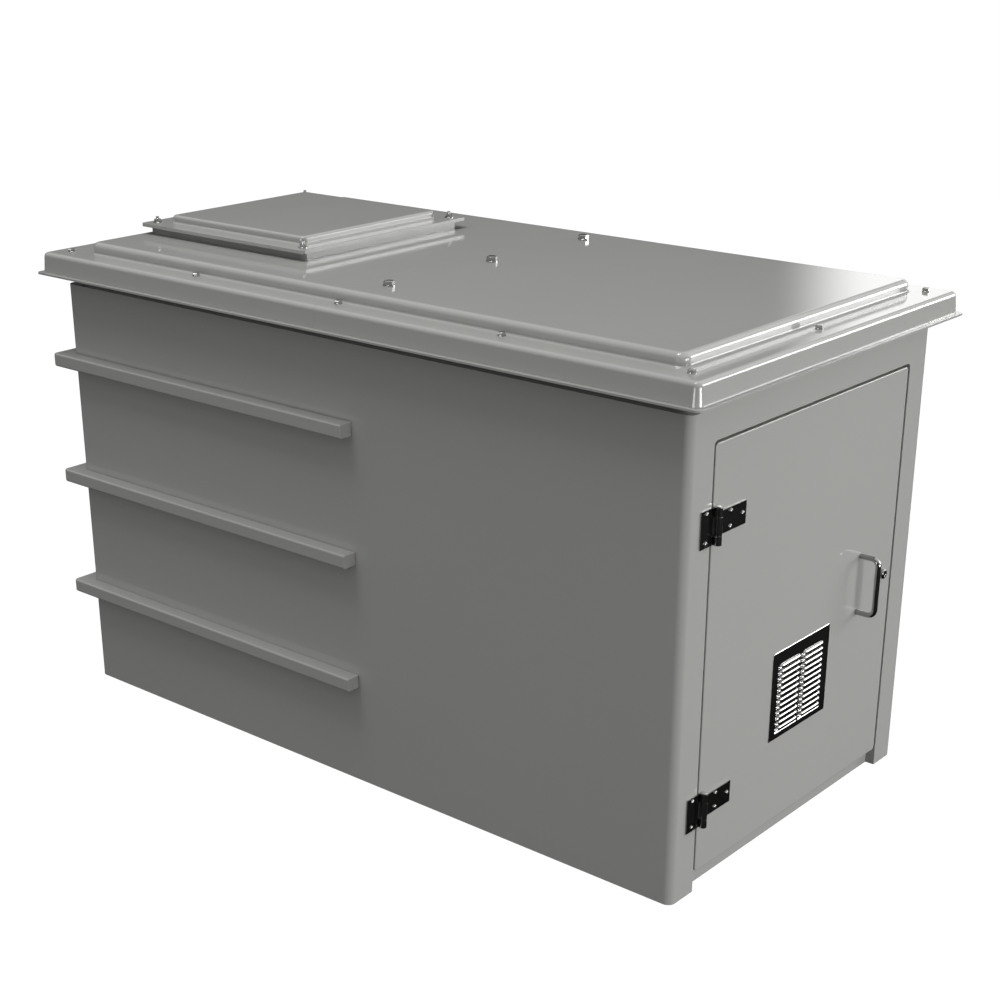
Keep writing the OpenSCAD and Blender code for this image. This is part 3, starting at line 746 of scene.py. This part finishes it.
def ring_set(name, node, outer, inner, body="cabinet"):
    rings = islands(node)
    spots = [((a.x + b.x) / 2, (a.y + b.y) / 2, a.z) for a, b in rings]
    mesh = spread(name, washer_body(outer, inner, rings[0][1].z - rings[0][0].z), spots,
                  FIXING_STEEL)
    new_piece(name, sharpen(mesh), body, FIXING_STEEL, [node])


def nut_set(name, node, flats, hole, seed):
    nuts = islands(node)
    spots = [((a.x + b.x) / 2, (a.y + b.y) / 2, a.z) for a, b in nuts]
    nut = hex_body(flats, nuts[0][1].z - nuts[0][0].z, hole + 0.05 * MM)
    mesh = spread(name, nut, spots, FIXING_STEEL, seed=seed)
    new_piece(name, sharpen(mesh), "cabinet", FIXING_STEEL, [node])


def button_screw(length):
    """Domed screw head with a hexagon socket; its shank runs along -Z."""
    dome, tall, across = 5.4 * MM, 3.3 * MM, 3.2 * MM
    rim = 0.6 * MM
    points = [(0, -length), (2.2 * MM, -length), (3 * MM, 0.8 * MM - length), (3 * MM, 0),
              (dome, 0), (dome, rim)]
    for step in range(1, 8):
        turn = step / 8 * math.pi / 2
        points.append((across / 1.7 + (dome - across / 1.7) * math.cos(turn),
                       rim + (tall - rim) * math.sin(turn)))
    points.append((across / 1.7, tall))
    points += [(across / 1.75, tall), (across / 1.75, tall - 1.6 * MM), (0, tall - 2.0 * MM)]
    return lathe(points, 36)


def screw_set(name, node, body, material=SHADED_MIRROR_STEEL):
    screws = islands(node)
    spots = [((a.x + b.x) / 2, a.y + 3.3 * MM, (a.z + b.z) / 2) for a, b in screws]
    length = screws[0][1].y - screws[0][0].y - 3.3 * MM
    mesh = spread(name, button_screw(length), spots, material, (math.pi / 2, 0, 0))
    new_piece(name, sharpen(mesh), body, material, [node])


def side_nut_set(name, node, body, flats):
    nuts = islands(node)
    spots = [((a.x + b.x) / 2, b.y, (a.z + b.z) / 2) for a, b in nuts]
    nut = hex_body(flats, nuts[0][1].y - nuts[0][0].y, 3.05 * MM)
    mesh = spread(name, nut, spots, FIXING_STEEL, (math.pi / 2, 0, 0), 0.0)
    new_piece(name, sharpen(mesh), body, FIXING_STEEL, [node])


# ---- hinges, handle, lock ----------------------------------------------------------------

def hinges():
    for place in ("upper", "lower"):
        finished_node(f"hinge_{place}_leaf", "cabinet", [SHADED_MIRROR_STEEL], 0.5 * MM)
        finished_node(f"hinge_{place}_strap", "door", [SHADED_MIRROR_STEEL], 0.5 * MM)
    finished_node("hinge_pins", "cabinet", [STEEL], 0.5 * MM)
    screw_set("hinge_leaf_screw_set", "hinge_leaf_screws", "cabinet")
    screw_set("hinge_strap_screw_set", "hinge_strap_screws", "door")
    side_nut_set("hinge_leaf_nut_set", "hinge_leaf_nuts", "cabinet", 10 * MM)
    side_nut_set("hinge_strap_nut_set", "hinge_strap_nuts", "door", 10 * MM)


def handle_path(steps=14):
    """Middle line of the bent bar, foot to foot."""
    bar = 14 * MM
    foot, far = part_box("pull_handle")
    x = (foot.x + far.x) / 2
    grip = foot.y + bar / 2
    low_z, high_z = foot.z + bar / 2, far.z - bar / 2
    bend = 18 * MM
    points = [Vector((x, far.y, low_z)), Vector((x, far.y - 0.4 * MM, low_z))]
    for k in range(steps + 1):
        turn = math.pi / 2 * k / steps
        points.append(Vector((x, grip + bend - bend * math.sin(turn),
                              low_z + bend - bend * math.cos(turn))))
    upper = [Vector((p.x, p.y, low_z + high_z - p.z)) for p in reversed(points)]
    return points + upper


def tube(path, radius, around=40):
    """Round bar along a path that lies in a plane of constant x, closed at both ends."""
    work = bmesh.new()
    rings = []
    side = Vector((1, 0, 0))
    for k, point in enumerate(path):
        ahead = path[min(k + 1, len(path) - 1)] - path[max(k - 1, 0)]
        out = side.cross(ahead).normalized()
        rings.append([
            work.verts.new(point + radius * (
                side * math.cos(2 * math.pi * j / around)
                + out * math.sin(2 * math.pi * j / around)))
            for j in range(around)])
    for lower, upper in zip(rings, rings[1:]):
        bridge(work, lower, upper)
    work.faces.new(list(reversed(rings[0])))
    work.faces.new(rings[-1])
    bmesh.ops.recalc_face_normals(work, faces=work.faces)
    return work


def handle():
    mesh = sharpen(to_mesh("pull_handle_bar", tube(handle_path(), 7 * MM)))
    new_piece("pull_handle_bar", mesh, "door", SHADED_MIRROR_STEEL, ["pull_handle"])
    finished_node("handle_screws", "door", [FIXING_STEEL], 0.4 * MM)
    finished_node("handle_washers", "door", [FIXING_STEEL], 0.2 * MM)


def lock():
    finished_node("lock_body", "door", [SHADED_MIRROR_STEEL], 0.6 * MM)
    finished_node("lock_nut", "door", [FIXING_STEEL], 0.4 * MM)
    finished_node("lock_plug", "lock", [STEEL], 0.3 * MM)
    finished_node("lock_cam", "lock", [FIXING_STEEL], 0.4 * MM)
    finished_node("lock_cam_screw", "lock", [FIXING_STEEL], 0.3 * MM)


# ---- vent --------------------------------------------------------------------------------

HOOD_ROWS = 12
HOOD_WIDE = 100 * MM
HOOD_TALL = 9.5 * MM
HOOD_DEEP = 6 * MM
HOOD_END = 14.5 * MM
HOOD_COLUMNS = (-102.5 * MM, 2.5 * MM)
VENT_HEAD = 35.5 * MM
VENT_FOOT = 21.5 * MM
SHEET = 1.2 * MM


def even(start, end, count):
    return [start + (end - start) * k / count for k in range(count)]


def vent_columns(lo, hi):
    """Places across the plate where its mesh has lines: close at the rounded hood ends."""
    lines = [lo.x, lo.x + 4 * MM]
    for left in HOOD_COLUMNS:
        right = left + HOOD_WIDE
        lines += even(left, left + HOOD_END, 10)
        lines += even(left + HOOD_END, right - HOOD_END, 6)
        lines += even(right - HOOD_END, right, 10) + [right]
    return lines + [hi.x - 4 * MM, hi.x]


def hood_height(x, rise):
    """How far the sheet is pressed out at x, a distance rise above the mouth's edge."""
    for left in HOOD_COLUMNS:
        inner = max(left + HOOD_END - x, x - (left + HOOD_WIDE - HOOD_END), 0.0) / HOOD_END
        reach = math.hypot(inner, rise / HOOD_TALL)
        if left <= x <= left + HOOD_WIDE and reach < 1.0:
            return HOOD_DEEP * math.sqrt(1.0 - reach * reach) * 0.985
    return 0.0


def vent():
    """The louvre plate: one sheet, slit and pressed out above each slit."""
    lo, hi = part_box("vent_plate")
    face = hi.y - 1.5 * MM
    pitch = (hi.z - lo.z - VENT_HEAD - VENT_FOOT - HOOD_TALL) / (HOOD_ROWS - 1)
    top = hi.z - VENT_HEAD
    work = bmesh.new()
    columns = vent_columns(lo, hi)

    def row(z, rise):
        return [
            work.verts.new((x, face - (hood_height(x, rise) if rise is not None else 0), z))
            for x in columns]

    rows = [(row(lo.z, None), False), (row(lo.z + 4 * MM, None), False)]
    for k in reversed(range(HOOD_ROWS)):
        mouth = top - k * pitch - HOOD_TALL
        rows.append((row(mouth, None), False))
        for step in range(10):
            rise = HOOD_TALL * math.sin(math.pi / 2 * step / 9)
            rows.append((row(mouth + rise, rise), step == 0))
    rows += [(row(hi.z - 4 * MM, None), False), (row(hi.z, None), False)]
    for (lower, _), (upper, slit) in zip(rows, rows[1:]):
        if slit:
            continue
        for j in range(len(columns) - 1):
            work.faces.new((lower[j], lower[j + 1], upper[j + 1], upper[j]))
    bmesh.ops.remove_doubles(work, verts=work.verts, dist=1e-6)
    bmesh.ops.recalc_face_normals(work, faces=work.faces)
    if sum(f.normal.y for f in work.faces) > 0:
        bmesh.ops.reverse_faces(work, faces=work.faces)
    mesh = sharpen(to_mesh("louvre_plate", work), 50)
    piece = new_piece("louvre_plate", mesh, "door", SHADED_MIRROR_STEEL, ["vent_plate"])
    thick = piece.modifiers.new("sheet", "SOLIDIFY")
    thick.thickness = SHEET
    thick.offset = -1.0
    thick.use_even_offset = False
    edge = frame["nodes"]["vent_mesh"]
    edge.data.materials.clear()
    edge.data.materials.append(INSECT_MESH)


# ---- studio ------------------------------------------------------------------------------

EYE = (-3.5204, -3.0008, 2.1839)
EYE_YAW, EYE_PITCH, EYE_ROLL = -49.219, -22.807, -0.265
LENS = 65.18
SENSOR = 36.0
SHIFT_X, SHIFT_Y = 0.0335, 0.1329


def camera():
    """Eye in front of the hinge side, above the lid."""
    data = bpy.data.cameras.new("camera")
    data.sensor_width = SENSOR
    data.lens = LENS
    data.shift_x = SHIFT_X
    data.shift_y = SHIFT_Y
    eye = bpy.data.objects.new("camera", data)
    bpy.context.scene.collection.objects.link(eye)
    yaw, pitch, roll = (math.radians(a) for a in (EYE_YAW, EYE_PITCH, EYE_ROLL))
    ahead = Vector((-math.sin(yaw) * math.cos(pitch), math.cos(yaw) * math.cos(pitch),
                    math.sin(pitch)))
    right = ahead.cross(Vector((0, 0, 1))).normalized()
    up = right.cross(ahead)
    right, up = (right * math.cos(roll) + up * math.sin(roll),
                 up * math.cos(roll) - right * math.sin(roll))
    turn = Matrix((right, up, -ahead)).transposed().to_4x4()
    eye.matrix_world = Matrix.Translation(EYE) @ turn
    bpy.context.scene.camera = eye


def softbox(name, place, target, size, power):
    """A soft area light that adds no highlight of its own: the sky gives those."""
    data = bpy.data.lights.new(name, "AREA")
    data.shape = "RECTANGLE"
    data.size, data.size_y = size
    data.energy = power
    data.specular_factor = 0.0
    lamp = bpy.data.objects.new(name, data)
    lamp.location = place
    lamp.rotation_euler = (Vector(target) - Vector(place)).to_track_quat("-Z", "Y").to_euler()
    bpy.context.scene.collection.objects.link(lamp)
    return lamp


# strength of the sky near the horizon and overhead: for matt light, then in reflections
SKY_LOW, SKY_HIGH = 0.16, 0.60
STUDIO_LOW, STUDIO_HIGH = 0.02, 1.0
SKY_RISE = (-0.1, 0.9)
STUDIO_RISE = (0.1, 0.95)
# (turn from +X and rise), half sizes, soft edges, all in degrees, then the strength
STUDIO_PATCHES = (
    ((6, 13), (23.5, 6.5), (1.6, 4.5), 2.1),
    ((-30, 30), (34, 18), (12, 14), 0.75),
)


# name, place, what it points at, size, watts
SOFTBOXES = (
    ("key_right", (6.0, -4.4, 2.2), (0, -0.6, 0.6), (2.8, 2.4), 235),
    ("front_fill", (-0.2, -7.0, 0.75), (0, -1, 0.5), (4.0, 1.4), 285),
    ("left_high", (-1.6, 0.6, 7.6), (-0.3, 0.2, 0.6), (2.4, 4.0), 310),
    ("left_low", (-7.5, 0.2, 0.3), (-0.5, 0, 0.3), (4.0, 1.0), 105),
)


def lights():
    for name, place, target, size, power in SOFTBOXES:
        softbox(name, place, target, size, power)


def patch(tree, parts, middle, spread, fade):
    """1 inside a soft-edged patch of sky about a direction (turn, rise), in degrees."""
    turn = maths(tree, "ARCTAN2", parts["Y"], parts["X"])
    rise = maths(tree, "ARCSINE", parts["Z"])
    mask = None
    for angle, centre, half, soft in zip((turn, rise), middle, spread, fade):
        away = maths(tree, "ABSOLUTE", maths(tree, "SUBTRACT", angle, math.radians(centre)))
        part = ramp(tree, away, math.radians(half - soft), math.radians(half + soft), 1.0, 0.0)
        mask = part if mask is None else maths(tree, "MULTIPLY", mask, part)
    return mask


def background(tree, strength):
    shader = tree.nodes.new("ShaderNodeBackground")
    shader.inputs["Color"].default_value = (1, 1, 1, 1)
    if isinstance(strength, (int, float)):
        shader.inputs["Strength"].default_value = strength
    else:
        tree.links.new(strength, shader.inputs["Strength"])
    return shader.outputs[0]


def world():
    """White to the eye, a soft sky for matt light, and a dark studio in reflections."""
    scene_world = bpy.data.worlds.new("studio")
    bpy.context.scene.world = scene_world
    scene_world.use_nodes = True
    tree = scene_world.node_tree
    tree.nodes.clear()
    path = tree.nodes.new("ShaderNodeLightPath")
    place = tree.nodes.new("ShaderNodeTexCoord")
    split = tree.nodes.new("ShaderNodeSeparateXYZ")
    tree.links.new(place.outputs["Generated"], split.inputs[0])
    parts = {axis: split.outputs[axis] for axis in "XYZ"}
    sky = ramp(tree, parts["Z"], *SKY_RISE, SKY_LOW, SKY_HIGH)
    studio = ramp(tree, parts["Z"], *STUDIO_RISE, STUDIO_LOW, STUDIO_HIGH)
    for middle, spread, fade, power in STUDIO_PATCHES:
        studio = maths(tree, "ADD", studio, maths(
            tree, "MULTIPLY", patch(tree, parts, middle, spread, fade), power))
    shiny = tree.nodes.new("ShaderNodeMixShader")
    tree.links.new(path.outputs["Is Glossy Ray"], shiny.inputs[0])
    tree.links.new(background(tree, sky), shiny.inputs[1])
    tree.links.new(background(tree, studio), shiny.inputs[2])
    seen = tree.nodes.new("ShaderNodeMixShader")
    tree.links.new(path.outputs["Is Camera Ray"], seen.inputs[0])
    tree.links.new(shiny.outputs[0], seen.inputs[1])
    tree.links.new(background(tree, 1.0), seen.inputs[2])
    out = tree.nodes.new("ShaderNodeOutputWorld")
    tree.links.new(seen.outputs[0], out.inputs["Surface"])


FLOOR_REACH = 80.0
FLOOR_PAINT = (0.85, 0.85, 0.85, 1)
FLOOR_MIRRORED = (0.02, 0.02, 0.02, 1)
FLOOR_GLOW = 1.06
GLOW_SHARE = 0.93


def floor():
    """Pale floor: mostly self-lit to the eye, darker in reflections."""
    reach = FLOOR_REACH
    mesh = bpy.data.meshes.new("floor")
    corners = [(-reach, -reach, 0), (reach, -reach, 0), (reach, reach, 0), (-reach, reach, 0)]
    mesh.from_pydata(corners, [], [(0, 1, 2, 3)])
    ground = bpy.data.objects.new("floor", mesh)
    bpy.context.scene.collection.objects.link(ground)
    material = bpy.data.materials.new("pale_floor")
    material.use_nodes = True
    tree = material.node_tree
    tree.nodes.clear()
    path = tree.nodes.new("ShaderNodeLightPath")
    paint = tree.nodes.new("ShaderNodeBsdfDiffuse")
    paint.inputs["Color"].default_value = FLOOR_PAINT
    glow = tree.nodes.new("ShaderNodeEmission")
    glow.inputs["Strength"].default_value = FLOOR_GLOW
    both = tree.nodes.new("ShaderNodeMixShader")
    both.inputs[0].default_value = GLOW_SHARE
    dull = tree.nodes.new("ShaderNodeBsdfDiffuse")
    dull.inputs["Color"].default_value = FLOOR_MIRRORED
    pick = tree.nodes.new("ShaderNodeMixShader")
    out = tree.nodes.new("ShaderNodeOutputMaterial")
    tree.links.new(paint.outputs[0], both.inputs[1])
    tree.links.new(glow.outputs[0], both.inputs[2])
    tree.links.new(path.outputs["Is Camera Ray"], pick.inputs[0])
    tree.links.new(dull.outputs[0], pick.inputs[1])
    tree.links.new(both.outputs[0], pick.inputs[2])
    tree.links.new(pick.outputs[0], out.inputs["Surface"])
    mesh.materials.append(material)


bpy.context.scene.view_settings.view_transform = "Standard"
mouldings()
seals()
bolt_sets()
hinges()
handle()
lock()
vent()
camera()
lights()
world()
floor()
